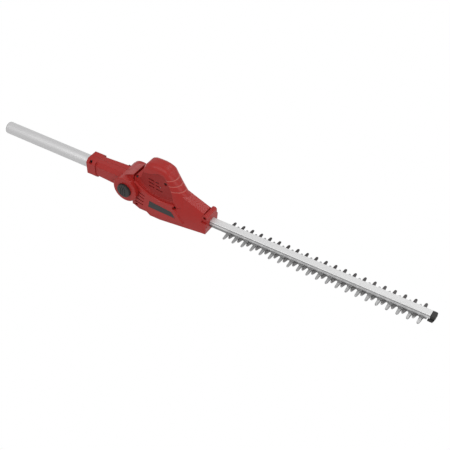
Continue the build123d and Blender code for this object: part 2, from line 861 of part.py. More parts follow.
def motor_magnets():
    """Two curved magnets against the inside of the can."""
    ring = round_z(cover_top + 6, motor_top - 8, motor_x, 0, motor_radius - motor_wall - fixed_fit)
    ring -= round_z(cover_top, motor_top, motor_x, 0, motor_radius - 4.3)
    near = ring & block(motor_x - 11, motor_x + 11, -30, 0, -60, 60)
    far = ring & block(motor_x - 11, motor_x + 11, 0, 30, -60, 60)
    return [near, far]


def motor_end_cap():
    """The moulded cap that closes the can and holds the brushes."""
    cap = round_z(motor_top, motor_top + 3, motor_x, 0, motor_radius - 1)
    cap += round_z(motor_top - 4, motor_top, motor_x, 0, motor_radius - motor_wall - fixed_fit)
    cap -= round_z(motor_top - 5, motor_top + 1, motor_x, 0, motor_radius - 4.5)
    cap -= round_z(motor_top, motor_top + 4, motor_x, 0, motor_shaft_radius + running_fit)
    for terminal in motor_terminals():
        cap -= terminal
    return cap


def motor_terminals():
    """Two blade terminals on the cap's rear edge."""
    blades = []
    for y in (-8.0, 8.0):
        blades.append(block(motor_x - 11.4, motor_x - 10.6, y - 1.6, y + 1.6, motor_top + 1, motor_top + 7))
    return blades


def carbon_brushes():
    """Two carbon blocks that press on the commutator."""
    brushes = []
    for side in (-1, 1):
        y = sorted((side * (commutator_radius + 0.3), side * (motor_radius - 4.9)))
        brushes.append(block(motor_x - 1.8, motor_x + 1.8, *y, motor_top - 4, motor_top - fixed_fit))
    return brushes


def motor_shaft():
    return round_z(gear_bottom - 0.5, motor_top + 16, motor_x, 0, motor_shaft_radius)


def on_motor_shaft(z0, z1, radius):
    """A round piece pressed on the motor shaft."""
    return round_z(z0, z1, motor_x, 0, radius) - round_z(z0 - 1, z1 + 1, motor_x, 0, motor_shaft_radius)


def rotor_core():
    """The slotted iron core."""
    core = on_motor_shaft(cover_top + 9, motor_top - 16, motor_radius - 5.2)
    slots_cut = []
    for i in range(5):
        slot = block(6.0, motor_radius, -1.0, 1.0, cover_top, motor_top)
        slots_cut.append(Pos(motor_x, 0, 0) * Rot(0, 0, 72 * i) * slot)
    return core - slots_cut


def rotor_windings():
    """The copper end turns above and below the core."""
    lower = on_motor_shaft(cover_top + 4, cover_top + 9, 9.5)
    upper = on_motor_shaft(motor_top - 16, motor_top - 10.5, 9.5)
    return [lower, upper]


def commutator():
    return on_motor_shaft(motor_top - 10, motor_top - 0.3, commutator_radius)


def cooling_fan():
    """A flat disc with straight blades, above the motor."""
    low = motor_top + 8.0
    fan = on_motor_shaft(low, low + 1.2, 14.5) + on_motor_shaft(low, low + 7, 4.0)
    blades = []
    for i in range(8):
        blade = block(3.0, 14.2, -0.6, 0.6, low + 1, low + 6)
        blades.append(Pos(motor_x, 0, 0) * Rot(0, 0, 45 * i) * blade)
    return (fan + blades) - round_z(low - 1, low + 9, motor_x, 0, motor_shaft_radius)


# ---------------------------------------------------------------- gears and crank


def gear_disc(teeth, x, z0, z1, bore, turn):
    """A spur gear with straight-flanked teeth."""
    pitch = gear_module * teeth / 2
    root = pitch - 1.25 * gear_module
    tip = pitch + 0.85 * gear_module
    step = 360 / teeth
    flank = [(root, -0.36), (pitch, -0.22), (tip, -0.1), (tip, 0.1), (pitch, 0.22), (root, 0.36)]
    points = []
    for i in range(teeth):
        for radius, share in flank:
            angle = math.radians(turn + step * (i + share))
            points.append((x + radius * math.cos(angle), radius * math.sin(angle)))
    return plan_prism(points, z0, z1) - round_z(z0 - 1, z1 + 1, x, 0, bore)


def drive_gear():
    top = gear_bottom + gear_thickness
    return gear_disc(gear_teeth, gear_x, gear_bottom, top, gear_shaft_radius, 180 / gear_teeth)


def pinion():
    top = gear_bottom + gear_thickness + 0.5
    return gear_disc(pinion_teeth, motor_x, gear_bottom, top, motor_shaft_radius, 0)


def crankshaft():
    shaft = round_z(gear_bottom - 1.2, gear_bottom + gear_thickness + 1, gear_x, 0, gear_shaft_radius)
    shaft += round_z(plate_bottom - 1.5, cover_top - 0.4, gear_x, 0, crank_shaft_radius)
    return shaft


def cam(side, z0, z1):
    """A round cam set off to one side of the crankshaft."""
    disc = round_z(z0, z1, gear_x, side * crank_radius, cam_radius)
    return disc - round_z(z0 - 1, z1 + 1, gear_x, 0, crank_shaft_radius)


def upper_cam():
    return cam(1, lower_blade_top + sliding_gap / 2 + 0.05, rail_bottom - 0.15)


def lower_cam():
    return cam(-1, lower_blade_bottom + 0.1, lower_blade_top + sliding_gap / 2 - 0.05)


def case_plan(grow, z0, z1):
    """The gear case's plan: round about the gear, straight about the pinion."""
    radius = case_radius + grow
    body = round_z(z0, z1, gear_x, 0, radius)
    body += block(motor_x - 8.5 - grow, gear_x, -12 - grow, 12 + grow, z0, z1)
    return body


def case_corner(x, y, z0, z1):
    return round_z(z0, z1, gear_x + x, y, 3.2)


def gearbox_case():
    """The lower gear case: floor, wall, four posts and a tongue that lies on the rail."""
    body = case_plan(case_wall - 0.5, rail_bottom, case_top)
    floor_top = rail_bottom + case_floor
    body += block(gear_x - 31, rail_rear - 0.6, -case_floor_half, case_floor_half, rail_bottom, floor_top)
    for x, y in case_screw_places:
        body += case_corner(x, y, rail_bottom, case_top)
    for x, y in post_places:
        body += round_z(plate_top, rail_bottom + case_floor, gear_x + x, y, 3.5)
    body += block(gear_x + 15, rail_rear - 0.6, -9, 9, rail_bottom, case_top)
    body += block(rail_rear - 4, rail_rear + 43, -10, 10, rail_top, case_top)
    body -= case_plan(0, rail_bottom + case_floor, case_top + 1)
    body -= block(rail_rear - 0.5, rail_rear + 60, -12, 12, rail_bottom - 1, rail_top)
    body -= round_z(rail_bottom - 1, rail_bottom + case_floor + 1, gear_x, 0, bearing_radius + fixed_fit)
    for x, y in case_screw_places:
        body -= round_z(case_top - 9, case_top + 1, gear_x + x, y, 1.25 + fixed_fit)
    for x, y in post_places:
        body -= round_z(plate_top - 1, rail_bottom + 1, gear_x + x, y, 1.5 + fixed_fit)
    for x in clamp_bolt_places():
        body -= round_z(rail_top - 1, rail_top + 5, x, 0, bolt_radius + fixed_fit)
    return body


def gearbox_cover():
    """The upper gear case, which the motor stands on."""
    body = case_plan(case_wall - 0.5, case_top, cover_top)
    for x, y in case_screw_places:
        body += case_corner(x, y, case_top, cover_top)
    body += round_z(case_top - 1.5, case_top, gear_x, 0, 7.0)
    body -= round_z(case_top - 2, cover_top + 1, gear_x, 0, bearing_radius + fixed_fit)
    body -= round_z(case_top - 1, cover_top + 1, motor_x, 0, 6.2)
    for y in (-8.0, 8.0):
        body -= round_z(case_top - 1, cover_top + 1, motor_x, y, 1.5 + fixed_fit)
    for x, y in case_screw_places:
        body -= round_z(case_top - 1, cover_top + 1, gear_x + x, y, 1.25 + fixed_fit)
        body -= round_z(cover_top - 1.8, cover_top + 1, gear_x + x, y, 2.2 + fixed_fit)
    return body


def gearbox_screws():
    """Four screws through the cover into the case."""
    screws = []
    for x, y in case_screw_places:
        body = round_z(case_top - 8, cover_top - 1, gear_x + x, y, 1.25)
        screws.append(body + round_z(cover_top - 1.8, cover_top - 0.1, gear_x + x, y, 2.2))
    return screws


def upper_bearing():
    ring = round_z(case_top - 1.5, cover_top - 0.2, gear_x, 0, bearing_radius)
    return ring - round_z(case_top - 3, cover_top + 1, gear_x, 0, crank_shaft_radius + running_fit)


def lower_bearing():
    top = rail_bottom + case_floor
    ring = round_z(rail_bottom + 0.1, top, gear_x, 0, bearing_radius)
    return ring - round_z(rail_bottom - 1, top + 1, gear_x, 0, crank_shaft_radius + running_fit)


def bottom_plate():
    """The steel plate under the blades, with a hub for the crankshaft's lower end."""
    outline = [
        (gear_x - 31.5, -18.5),
        (rail_rear + 1, -18.5),
        (rail_rear + 8, -9),
        (rail_rear + 44, -9),
        (rail_rear + 44, 9),
        (rail_rear + 8, 9),
        (rail_rear + 1, 18.5),
        (gear_x - 31.5, 18.5),
    ]
    body = plan_prism(outline, plate_bottom, plate_top)
    body += round_z(plate_bottom - 2, plate_bottom, gear_x, 0, 6.0)
    body -= round_z(plate_bottom - 3, plate_top + 1, gear_x, 0, crank_shaft_radius + running_fit)
    for x, y in post_places:
        body -= round_z(plate_bottom - 1, plate_top + 1, gear_x + x, y, 1.5 + fixed_fit)
    for x in clamp_bolt_places():
        body -= round_z(plate_bottom - 1, plate_top + 1, x, 0, bolt_radius + fixed_fit)
    return body


def bottom_plate_screws():
    screws = []
    for x, y in post_places:
        body = round_z(plate_bottom, rail_bottom + 0.8, gear_x + x, y, 1.5)
        screws.append(body + round_z(plate_bottom - 2, plate_bottom, gear_x + x, y, 2.9))
    return screws


# ---------------------------------------------------------------- cutter bar


def clamp_bolt_places():
    """The bolts inside the nose that hold the rail to the gear case."""
    first = rail_rear + 13
    return [first, first + clamp_bolt_pitch]


def bar_bolt_places():
    """The bolts along the bar that hold the blades up to the rail."""
    return [bar_bolt_first + bar_bolt_pitch * i for i in range(bar_bolt_count)]


def blade_rail():
    """The long aluminium rail, with a groove along each side."""
    groove = -21.5
    half = [
        (rail_half_width - 0.8, rail_top),
        (rail_half_width, rail_top - 0.8),
        (rail_half_width, groove + 1.0),
        (rail_half_width - 1.5, groove + 0.4),
        (rail_half_width - 1.5, groove - 0.4),
        (rail_half_width, groove - 1.0),
        (rail_half_width, rail_bottom),
    ]
    outline = half + [(-y, z) for y, z in reversed(half)]
    face = make_face(Polyline([(rail_rear, y, z) for y, z in outline], close=True))
    rail = extrude(face, amount=rail_end - rail_rear, dir=(1, 0, 0))
    for x in clamp_bolt_places():
        rail -= round_z(rail_bottom - 1, rail_top + 1, x, 0, bolt_radius + fixed_fit)
    for x in bar_bolt_places():
        rail -= round_z(rail_bottom - 1, rail_top - 2, x, 0, bolt_radius + fixed_fit)
    return rail - round_x(rail_end - 13, rail_end + 1, 0, rail_top - 5, 1.5 + fixed_fit)


def rail_bolts():
    """The bolts from below: two through the clamped end, the rest along the bar."""
    bolts = []
    for x in clamp_bolt_places():
        bolts.append(cap_bolt(x, plate_bottom, rail_top + 4.5))
    for x in bar_bolt_places():
        bolts.append(cap_bolt(x, plate_top - flange_thickness, rail_top - 2.2))
    return bolts


def cap_bolt(x, seat, top):
    """A socket-head bolt whose head bears up against its seat."""
    body = round_z(seat - bolt_head_height, seat, x, 0, bolt_head_radius)
    body += round_z(seat, top, x, 0, bolt_radius)
    socket = extrude(RegularPolygon(1.7, 6), amount=1.5)
    return body - Pos(x, 0, seat - bolt_head_height) * socket


def bolt_sleeves():
    """Sleeves round the bolts, a little taller than the blades, so the blades stay free."""
    sleeves = []
    for x in clamp_bolt_places():
        sleeves.append(round_z(plate_top, rail_bottom, x, 0, sleeve_radius))
    for x in bar_bolt_places():
        sleeve = round_z(plate_top, rail_bottom, x, 0, sleeve_radius)
        sleeves.append(sleeve + round_z(plate_top - flange_thickness, plate_top, x, 0, flange_radius))
    bores = [round_z(plate_bottom, rail_top, x, 0, bolt_radius + fixed_fit) for x in clamp_bolt_places()]
    bores += [round_z(plate_bottom, rail_top, x, 0, bolt_radius + fixed_fit) for x in bar_bolt_places()]
    return [sleeve - bore for sleeve, bore in zip(sleeves, bores)]


def tooth_plan(reach):
    """The plan of one tooth on the +Y side, about its own middle line."""
    root = tooth_root_width / 2
    tip = tooth_tip_width / 2
    waist = tooth_waist_width / 2
    inner = blade_half_width - 1
    waist_y = inner + root
    half = [(root, inner), (waist, waist_y), (tip, reach - tip), (tip / 2, reach)]
    return half + [(-x, y) for x, y in reversed(half)]


def tooth(reach):
    """One tooth on the +Y side at X 0: its flat cutting face at Z 0, and ground edges above that lean in."""
    land = 0.7
    points = tooth_plan(reach)
    body = plan_prism(points, 0, land)
    ground = make_face(Polyline([(x, y, land) for x, y in points], close=True))
    return body + extrude(ground, amount=blade_thickness - land, taper=edge_angle)


def long_slot(x, half_length, half_width, z0, z1):
    """A slot along X with round ends."""
    body = block(x - half_length + half_width, x + half_length - half_width, -half_width, half_width, z0, z1)
    for end in (-1, 1):
        body += round_z(z0, z1, x + end * (half_length - half_width), 0, half_width)
    return body


def blade(z0, z1, rows, faces_up):
    """A toothed blade: the yoke round its cam, the bar, and a row of teeth along each side."""
    yoke_x = cam_radius + yoke_slack + 0.1
    yoke_y = cam_radius + crank_radius + 0.3
    bar_end = rail_end - crank_radius - 0.6
    body = block(gear_x, bar_end, -blade_half_width, blade_half_width, z0, z1)
    body += block(gear_x - yoke_x - 4.4, gear_x + yoke_x + 4.4, -yoke_y - 2.6, yoke_y + 2.6, z0, z1)
    for side, first, count, reach in rows:
        one = tooth(reach)
        if not faces_up:
            one = Pos(0, 0, blade_thickness) * mirror(one, about=Plane.XY)
        if side < 0:
            one = mirror(one, about=Plane.XZ)
        body += [Pos(first + tooth_pitch * i, 0, z0) * one for i in range(count)]
    body -= block(gear_x - yoke_x, gear_x + yoke_x, -yoke_y, yoke_y, z0 - 1, z1 + 1)
    for x in clamp_bolt_places() + bar_bolt_places():
        body -= long_slot(x, sleeve_radius + crank_radius + 0.3, sleeve_radius + 0.3, z0 - 1, z1 + 1)
    return body


def upper_blade():
    """Long teeth on the right and short ones on the left, ground on top."""
    low = upper_blade_top - blade_thickness
    rows = [
        (-1, first_tooth_x, tooth_count, long_reach),
        (1, first_tooth_x + upper_short_lead, tooth_count - 1, short_reach),
    ]
    return blade(low, upper_blade_top, rows, True)


def lower_blade():
    """The other way round: long teeth on the left, short ones on the right, ground underneath."""
    first = first_tooth_x - lower_blade_lag
    rows = [
        (1, first, tooth_count, long_reach),
        (-1, first + lower_short_lead, tooth_count - 1, short_reach),
    ]
    return blade(lower_blade_bottom, lower_blade_top, rows, False)


def round_fronted(body):
    """A block with its two front upright edges rounded."""
    upright = body.edges().filter_by(Axis.Z).sort_by(Axis.X)[-2:]
    return fillet(upright, 3.0)


def tip_guard():
    """The moulded cap on the rail's end that keeps the blade tips off walls and ground."""
    low = lower_blade_bottom - sliding_gap - guard_floor
    step = rail_bottom - sliding_gap
    room_half = blade_half_width + sliding_gap
    front = rail_end + guard_length
    outer_half = room_half + guard_floor
    body = round_fronted(block(rail_end, front, -8.0, 8.0, step - 1, rail_top - 1.0))
    body += round_fronted(block(rail_end - guard_cheek, front, -outer_half, outer_half, low, step))
    body -= block(rail_end - guard_cheek - 1, rail_end, -room_half, room_half, low + guard_floor, step + 1)
    body -= side_prism([(front + 1, low - 1), (front - 4.5, low - 1), (front + 1, low + 10)], -20, 20)
    z = rail_top - 5
    body -= round_x(rail_end - 1, rail_end + guard_length + 1, 0, z, 1.5 + fixed_fit)
    return body - round_x(rail_end + guard_length - 3.5, rail_end + guard_length + 1, 0, z, 3.2)


def tip_screw():
    z = rail_top - 5
    seat = rail_end + guard_length - 3.5
    body = round_x(rail_end - 12, seat, 0, z, 1.5) + round_x(seat, seat + 2.2, 0, z, 2.9)
    return body - block(seat + 1, seat + 3, -1.8, 1.8, z - 0.4, z + 0.4)


def felt_wiper():
    """The felt frame in the nose that wipes the rail and blades."""
    front = nose_x - front_wall
    x = front - wiper_thickness
    pad = block(x, front - fixed_fit, -17.5, 17.5, -41, -12)
    return pad - mouth(x - 1, nose_x)


def thrust_washer():
    """The washer beside the knuckle that takes up the barrel's side play."""
    near = knuckle_half_width + 0.25
    ring = round_y(near, near + 2, pivot_x, pivot_z, 20.0)
    return ring - round_y(near - 1, near + 3, pivot_x, pivot_z, knuckle_bore + running_fit)


def main():
    save("pole_tube", pole_tube())
    save("pole_connector", pole_connector())
    save("connector_pins", *connector_pins())
    neck = neck_body()
    save("neck_left", left_half(neck))
    save("neck_right", right_half(neck))
    save("neck_screws", *neck_screws())
    save("tube_pin", tube_pin())
    save("lock_ring", lock_ring())
    save("lock_hub", lock_hub())
    save("lock_button", lock_button())
    save("lock_spring", lock_spring())
    save("thrust_washer", thrust_washer())
    head = head_body()
    save("housing_left", left_half(head))
    save("housing_right", right_half(head))
    save("housing_screws", *housing_screws())
    save("shoulder_screws", *shoulder_screws())
    save("label_plate", label_plate())
    save("motor_can", motor_can())
    save("motor_screws", *motor_screws())
    save("motor_magnets", *motor_magnets())
    save("motor_end_cap", motor_end_cap())
    save("motor_terminals", *motor_terminals())
    save("carbon_brushes", *carbon_brushes())
    save("motor_shaft", motor_shaft())
    save("rotor_core", rotor_core())
    save("rotor_windings", *rotor_windings())
    save("commutator", commutator())
    save("cooling_fan", cooling_fan())
    save("pinion", pinion())
    save("drive_gear", drive_gear())
    save("crankshaft", crankshaft())
    save("upper_cam", upper_cam())
    save("lower_cam", lower_cam())
    save("gearbox_case", gearbox_case())
    save("gearbox_cover", gearbox_cover())
    save("gearbox_screws", *gearbox_screws())
    save("upper_bearing", upper_bearing())
    save("lower_bearing", lower_bearing())
    save("bottom_plate", bottom_plate())
    save("bottom_plate_screws", *bottom_plate_screws())
    save("blade_rail", blade_rail())
    save("rail_bolts", *rail_bolts())
    save("bolt_sleeves", *bolt_sleeves())
    save("upper_blade", upper_blade())
    save("lower_blade", lower_blade())
    save("tip_guard", tip_guard())
    save("tip_screw", tip_screw())
    save("felt_wiper", felt_wiper())


main()
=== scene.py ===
import bpy
import json
import math
import numpy as np
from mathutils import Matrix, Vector


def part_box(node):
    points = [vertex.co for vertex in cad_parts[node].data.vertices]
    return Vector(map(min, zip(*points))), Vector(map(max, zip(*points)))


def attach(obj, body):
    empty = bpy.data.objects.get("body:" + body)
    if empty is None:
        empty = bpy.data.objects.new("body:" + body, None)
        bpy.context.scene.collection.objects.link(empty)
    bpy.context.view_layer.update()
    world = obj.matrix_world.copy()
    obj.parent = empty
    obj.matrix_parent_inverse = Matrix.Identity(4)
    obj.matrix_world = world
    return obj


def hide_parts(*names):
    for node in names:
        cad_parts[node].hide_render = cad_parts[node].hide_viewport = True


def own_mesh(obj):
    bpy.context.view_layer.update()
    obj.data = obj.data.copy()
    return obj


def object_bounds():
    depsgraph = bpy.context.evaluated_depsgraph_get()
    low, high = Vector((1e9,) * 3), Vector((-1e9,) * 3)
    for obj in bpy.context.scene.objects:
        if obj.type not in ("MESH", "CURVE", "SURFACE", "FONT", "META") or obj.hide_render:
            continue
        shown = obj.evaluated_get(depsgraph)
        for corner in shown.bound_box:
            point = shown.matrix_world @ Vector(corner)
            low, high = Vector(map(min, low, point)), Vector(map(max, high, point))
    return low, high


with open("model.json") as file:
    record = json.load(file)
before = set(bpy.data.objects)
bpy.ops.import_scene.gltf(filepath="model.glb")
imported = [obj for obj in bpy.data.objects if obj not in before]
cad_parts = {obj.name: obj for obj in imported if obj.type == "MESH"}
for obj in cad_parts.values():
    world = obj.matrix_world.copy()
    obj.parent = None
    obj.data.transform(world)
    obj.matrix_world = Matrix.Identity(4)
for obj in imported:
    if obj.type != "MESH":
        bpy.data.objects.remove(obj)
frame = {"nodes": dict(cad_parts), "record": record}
record = frame["record"]
lowLoaded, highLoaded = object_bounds()
print("frame loaded:", len(frame["nodes"]), "nodes")


# Small helpers for building node trees

def addNode(tree, kind, x=0, y=0, **settings):
    node = tree.nodes.new(kind)
    node.location = (x, y)
    for name, value in settings.items():
        setattr(node, name, value)
    return node


def feed(tree, socket, value):
    # value is another node's output, or a plain number or colour
    if isinstance(value, bpy.types.NodeSocket):
        tree.links.new(value, socket)
    else:
        socket.default_value = value


def newGroup(name, inputs, outputs):
    # inputs and outputs: label to kind of socket
    group = bpy.data.node_groups.new(name, "ShaderNodeTree")
    for label, kind in inputs.items():
        group.interface.new_socket(label, in_out="INPUT", socket_type="NodeSocket" + kind)
    for label, kind in outputs.items():
        group.interface.new_socket(label, in_out="OUTPUT", socket_type="NodeSocket" + kind)
    entry = addNode(group, "NodeGroupInput", -900, 0)
    leave = addNode(group, "NodeGroupOutput", 900, 0)
    return group, entry, leave


def mixColour(tree, factor, first, second, x=0, y=0):
    node = addNode(tree, "ShaderNodeMix", x, y, data_type="RGBA")
    for index, value in ((0, factor), (6, first), (7, second)):    # the factor and the two colours
        feed(tree, node.inputs[index], value)
    return node.outputs[2]


def calculate(tree, operation, values, x=0, y=0):
    node = addNode(tree, "ShaderNodeMath", x, y, operation=operation)
    for socket, value in zip(node.inputs, values):
        feed(tree, socket, value)
    return node.outputs[0]


def fitRange(tree, value, low, high, toLow, toHigh, x=0, y=0):
    node = addNode(tree, "ShaderNodeMapRange", x, y)
    tree.links.new(value, node.inputs["Value"])
    for label, number in (("From Min", low), ("From Max", high), ("To Min", toLow), ("To Max", toHigh)):
        node.inputs[label].default_value = number
    return node.outputs["Result"]


def addNoise(tree, place, scale, detail, x=0, y=0):
    node = addNode(tree, "ShaderNodeTexNoise", x, y)
    tree.links.new(place, node.inputs["Vector"])
    feed(tree, node.inputs["Scale"], scale)
    feed(tree, node.inputs["Detail"], detail)
    return node.outputs["Fac"]


# Effects that several materials share; all scales count per metre

mouldMarks = {"grainDetail": 2.0, "swellScale": 28.0, "swellDetail": 3.0, "swellShare": 0.3}


def makeMouldSkin():
    # Fine grain of a spark-eroded mould, over a slow unevenness: height is grain plus a little swell
    inputs = {"Place": "Vector", "Grain Size": "Float"}
    group, entry, leave = newGroup("mouldSkin", inputs, {"Height": "Float", "Unevenness": "Float"})
    place = entry.outputs["Place"]
    grain = addNoise(group, place, entry.outputs["Grain Size"], mouldMarks["grainDetail"], -500, 200)
    swell = addNoise(group, place, mouldMarks["swellScale"], mouldMarks["swellDetail"], -500, -100)
    lifted = calculate(group, "MULTIPLY", (swell, mouldMarks["swellShare"]), -200, -60)
    group.links.new(calculate(group, "ADD", (grain, lifted), 100, 100), leave.inputs["Height"])
    group.links.new(swell, leave.inputs["Unevenness"])
    return group


scuffMarks = {
    "turn": (0.3, 0.5, 0.7),
    "scale": (60.0, 320.0, 200.0),
    "lineDetail": 4.0,
    "lineHalf": 0.012,          # how far from its middle value the noise still makes a scratch
    "patchScale": 22.0,
    "patchDetail": 2.0,
    "patchFrom": 0.5,
    "patchFull": 0.66,
}


def makeHandling():
    # Faint scuffs: thin bent scratches where a stretched noise crosses its middle value, in patches only
    group, entry, leave = newGroup("handling", {"Place": "Vector", "Amount": "Float"}, {"Scuff": "Float"})
    place = entry.outputs["Place"]
    turn = addNode(group, "ShaderNodeMapping", -700, 0)
    turn.inputs["Rotation"].default_value = scuffMarks["turn"]
    turn.inputs["Scale"].default_value = scuffMarks["scale"]
    group.links.new(place, turn.inputs["Vector"])
    line = addNoise(group, turn.outputs["Vector"], 1.0, scuffMarks["lineDetail"], -500, 0)
    patch = addNoise(group, place, scuffMarks["patchScale"], scuffMarks["patchDetail"], -500, -300)
    offMiddle = calculate(group, "SUBTRACT", (line, 0.5), -300, 0)
    away = calculate(group, "ABSOLUTE", (offMiddle,), -150, 0)
    thin = fitRange(group, away, 0.0, scuffMarks["lineHalf"], 1.0, 0.0, 0, 0)
    sparse = fitRange(group, patch, scuffMarks["patchFrom"], scuffMarks["patchFull"], 0.0, 1.0, 0, -300)
    both = calculate(group, "MULTIPLY", (thin, sparse), 200, 0)
    scuff = calculate(group, "MULTIPLY", (both, entry.outputs["Amount"]), 400, 0)
    group.links.new(scuff, leave.inputs["Scuff"])
    return group


drawnMarks = {"lineDetail": 5.0, "cloudScale": 16.0, "cloudDetail": 4.0}


def makeDrawnLines():
    # Lines left by a die, a roller or a grinding wheel: noise stretched along one direction
    inputs = {"Place": "Vector", "Stretch": "Vector"}
    group, entry, leave = newGroup("drawnLines", inputs, {"Lines": "Float", "Cloud": "Float"})
    place = entry.outputs["Place"]
    scaled = addNode(group, "ShaderNodeVectorMath", -700, 0, operation="MULTIPLY")
    group.links.new(place, scaled.inputs[0])
    group.links.new(entry.outputs["Stretch"], scaled.inputs[1])
    lines = addNoise(group, scaled.outputs["Vector"], 1.0, drawnMarks["lineDetail"], -400, 100)
    cloud = addNoise(group, place, drawnMarks["cloudScale"], drawnMarks["cloudDetail"], -400, -200)
    group.links.new(lines, leave.inputs["Lines"])
    group.links.new(cloud, leave.inputs["Cloud"])
    return group


mouldSkin = makeMouldSkin()
handling = makeHandling()
drawnLines = makeDrawnLines()


def startMaterial(name):
    material = bpy.data.materials.new(name)
    material.use_nodes = True
    tree = material.node_tree
    shader = tree.nodes["Principled BSDF"]
    place = addNode(tree, "ShaderNodeTexCoord", -1400, 0)
    return material, tree, shader, place.outputs["Object"]


bevelSamples = 4


def addBump(tree, shader, height, strength, distance, edge):
    # where edge is above 0, hard edges look rounded by that radius, as a mould or a file leaves them
    bump = addNode(tree, "ShaderNodeBump", -250, -500)
    bump.inputs["Strength"].default_value = strength
    bump.inputs["Distance"].default_value = distance
    tree.links.new(height, bump.inputs["Height"])
    if edge > 0:
        rounded = addNode(tree, "ShaderNodeBevel", -500, -600, samples=bevelSamples)
        rounded.inputs["Radius"].default_value = edge
        tree.links.new(rounded.outputs["Normal"], bump.inputs["Normal"])
    tree.links.new(bump.outputs["Normal"], shader.inputs["Normal"])


plasticRules = {
    "swellPart": (0.3, 0.7),    # the part of the swell that changes the roughness
    "roughSpread": 0.04,        # roughness either side of the look's own
    "sunkMatt": 0.22,           # roughness added on sunk faces
    "scuffMatt": 0.25,
    "bumpDepth": 0.0004,
}


def mouldedPlastic(name, look):
    material, tree, shader, place = startMaterial(name)
    skin = addNode(tree, "ShaderNodeGroup", -1000, -300, node_tree=mouldSkin)
    skin.inputs["Grain Size"].default_value = look["grainSize"]
    wear = addNode(tree, "ShaderNodeGroup", -1000, 200, node_tree=handling)
    wear.inputs["Amount"].default_value = look["scuffs"]
    tree.links.new(place, skin.inputs["Place"])
    tree.links.new(place, wear.inputs["Place"])
    uneven = skin.outputs["Unevenness"]
    scuff = wear.outputs["Scuff"]
    base = mixColour(tree, uneven, look["shade"], look["colour"], -700, 300)
    spread = plasticRules["roughSpread"]
    rough = fitRange(
        tree, uneven, *plasticRules["swellPart"], look["rough"] - spread, look["rough"] + spread, -700, 0,
    )
    if "sunkShadeColour" in look:
        sunk = addNode(tree, "ShaderNodeAttribute", -900, 550, attribute_name="sunk").outputs["Fac"]
        lip = addNode(tree, "ShaderNodeAttribute", -760, 700, attribute_name="lip").outputs["Fac"]
        # painted shade on the hump's sunk side, darker the deeper the face lies
        base = mixColour(tree, sunk, base, look["sunkShadeColour"], -560, 420)
        # painted highlight on the lips of the grooves round the hump's front
        base = mixColour(tree, lip, base, look["lipHighlightColour"], -500, 560)
        rough = calculate(tree, "MULTIPLY_ADD", (sunk, plasticRules["sunkMatt"], rough), -580, -60)
    worn = mixColour(tree, scuff, base, look["scuffColour"], -450, 300)
    tree.links.new(worn, shader.inputs["Base Color"])
    roughWorn = calculate(tree, "MULTIPLY_ADD", (scuff, plasticRules["scuffMatt"], rough), -450, 0)
    tree.links.new(roughWorn, shader.inputs["Roughness"])
    shader.inputs["Specular IOR Level"].default_value = look["shine"]
    addBump(tree, shader, skin.outputs["Height"], look["bump"], plasticRules["bumpDepth"], look["edge"])
    return material


metalRules = {
    "linePart": (0.35, 0.65),   # the part of the drawn lines that changes the colour
    "cloudPart": (0.3, 0.7),    # the part of the cloud that changes the roughness
    "smoother": 0.05,           # roughness below and above the look's own
    # metres over which the painted dark reflection on the left teeth fades in
    "rougher": 0.07,
    "farReflectionFade": 0.002,          # metres over which an oil film begins
    "grooveFade": 0.8,          # share of a groove's half width that is fully shaded
    "bumpDepth": 0.0002,
}


def paintFarReflection(tree, place, base, look):
    # painted dark reflection on the left teeth, beginning at a distance to the left of the middle plane
    across = addNode(tree, "ShaderNodeSeparateXYZ", -900, 450)
    tree.links.new(place, across.inputs[0])
    start = look["farReflectionFrom"]
    reflectionMask = fitRange(tree, across.outputs["Y"], start, start + metalRules["farReflectionFade"], 0.0, 1.0, -700, 450)
    return mixColour(tree, reflectionMask, base, look["farReflectionColour"], -300, 300)


def shadedGroove(tree, place, base, look):
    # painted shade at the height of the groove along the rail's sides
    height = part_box("blade_rail")[1][2] - look["grooveUnderTop"]
    parts = addNode(tree, "ShaderNodeSeparateXYZ", -1100, 700)
    tree.links.new(place, parts.inputs[0])
    above = calculate(tree, "SUBTRACT", (parts.outputs["Z"], height), -900, 700)
    away = calculate(tree, "ABSOLUTE", (above,), -750, 700)
    half = look["grooveHalf"]
    shaded = fitRange(tree, away, half * metalRules["grooveFade"], half, 1.0, 0.0, -550, 700)
    return mixColour(tree, shaded, base, look["grooveShadeColour"], -200, 400)


def workedMetal(name, look):
    material, tree, shader, place = startMaterial(name)
    lines = addNode(tree, "ShaderNodeGroup", -1000, 0, node_tree=drawnLines)
    lines.inputs["Stretch"].default_value = look["stretch"]
    tree.links.new(place, lines.inputs["Place"])
    drawn = lines.outputs["Lines"]
    streak = fitRange(tree, drawn, *metalRules["linePart"], 0.0, 1.0, -750, 200)
    base = mixColour(tree, streak, look["shade"], look["colour"], -500, 200)
    if "farReflectionColour" in look:
        base = paintFarReflection(tree, place, base, look)
    if "grooveShadeColour" in look:
        base = shadedGroove(tree, place, base, look)
    tree.links.new(base, shader.inputs["Base Color"])
    smoothest = look["rough"] - metalRules["smoother"]
    roughest = look["rough"] + metalRules["rougher"]
    cloud = lines.outputs["Cloud"]
    rough = fitRange(tree, cloud, *metalRules["cloudPart"], smoothest, roughest, -750, -100)
    tree.links.new(rough, shader.inputs["Roughness"])
    shader.inputs["Metallic"].default_value = look["metal"]
    addBump(tree, shader, drawn, look["bump"], metalRules["bumpDepth"], look["edge"])
    return material


def pressedFelt(name, look):
    material, tree, shader, place = startMaterial(name)
    fibre = addNoise(tree, place, look["fibreScale"], look["fibreDetail"], -900, 0)
    base = mixColour(tree, fibre, look["shade"], look["colour"], -500, 200)
    tree.links.new(base, shader.inputs["Base Color"])
    shader.inputs["Roughness"].default_value = look["rough"]
    shader.inputs["Sheen Weight"].default_value = look["sheen"]
    addBump(tree, shader, fibre, look["bump"], look["bumpDepth"], 0.0)
    return material


# Moulded pieces: colours are linear, edges in metres; grain size counts per metre

